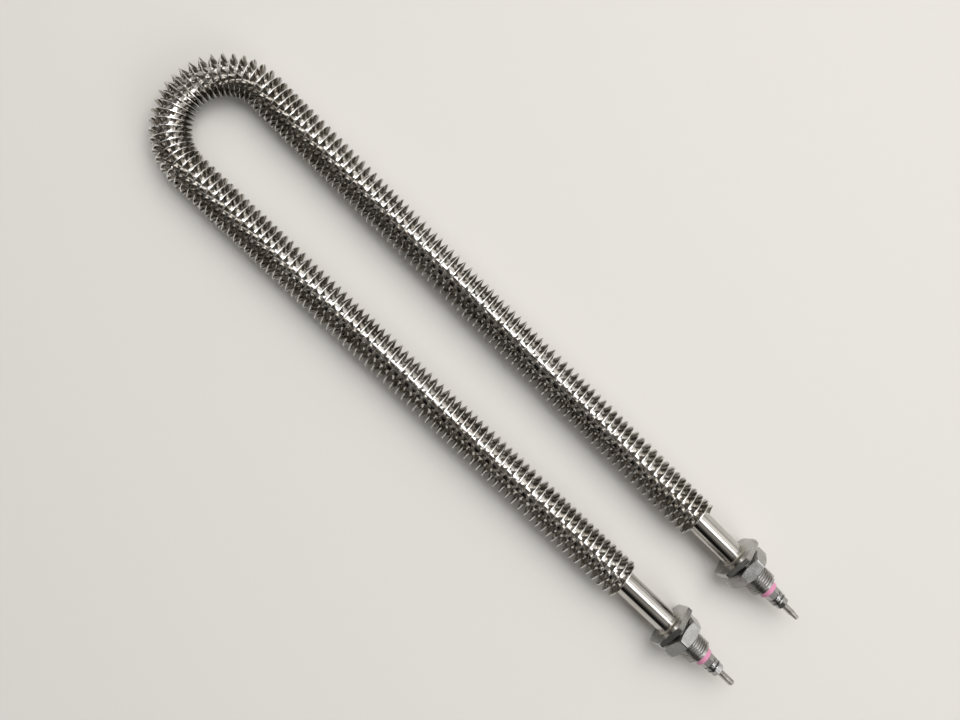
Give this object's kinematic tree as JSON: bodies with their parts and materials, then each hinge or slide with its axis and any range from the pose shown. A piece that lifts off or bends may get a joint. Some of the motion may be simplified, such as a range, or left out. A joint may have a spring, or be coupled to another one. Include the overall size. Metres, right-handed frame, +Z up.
{
  "type": "tubular heating element",
  "caption": "U-bent tubular heating element with a crimped spiral fin, hexagon-collared threaded fittings, lock nuts, ceramic beads and screw terminals",
  "frame": {"origin": "midway between the two fittings, in the plane of the collar faces that seat on a panel", "axes": "+X along the middle of the U, out past the terminals; +Y across the legs, from the right leg to the left one; +Z up, across the plane of the U"},
  "size_m": [0.4713, 0.087, 0.0304],
  "materials": {
    "sheath_steel": "bright annealed stainless tube, drawn",
    "fin_steel": "bright stainless strip, cold rolled and crimped",
    "resistance_wire": "dull drawn resistance wire",
    "magnesia": "packed white powder",
    "fitting_steel": "turned steel, satin",
    "plated_steel": "bright zinc-nickel plating",
    "seal_resin": "matt cured resin",
    "pink_ceramic": "fired pink ceramic, slight sheen",
    "pin_steel": "bright drawn steel"
  },
  "bodies": {
    "root": {"sheath_tube": "sheath_steel", "spiral_fin": "fin_steel", "resistance_coil": "resistance_wire", "magnesia_fill": "magnesia", "right_threaded_fitting": "fitting_steel", "right_jam_nut": "plated_steel", "right_end_seal": "seal_resin", "right_ceramic_bead": "pink_ceramic", "right_terminal_pin": "pin_steel", "right_inner_terminal_nut": "plated_steel", "right_inner_washer": "plated_steel", "right_middle_washer": "plated_steel", "right_spring_washer": "plated_steel", "right_outer_washer": "plated_steel", "right_outer_terminal_nut": "plated_steel", "left_threaded_fitting": "fitting_steel", "left_jam_nut": "plated_steel", "left_end_seal": "seal_resin", "left_ceramic_bead": "pink_ceramic", "left_terminal_pin": "pin_steel", "left_inner_terminal_nut": "plated_steel", "left_inner_washer": "plated_steel", "left_middle_washer": "plated_steel", "left_spring_washer": "plated_steel", "left_outer_washer": "plated_steel", "left_outer_terminal_nut": "plated_steel"}
  },
  "joints": []
}
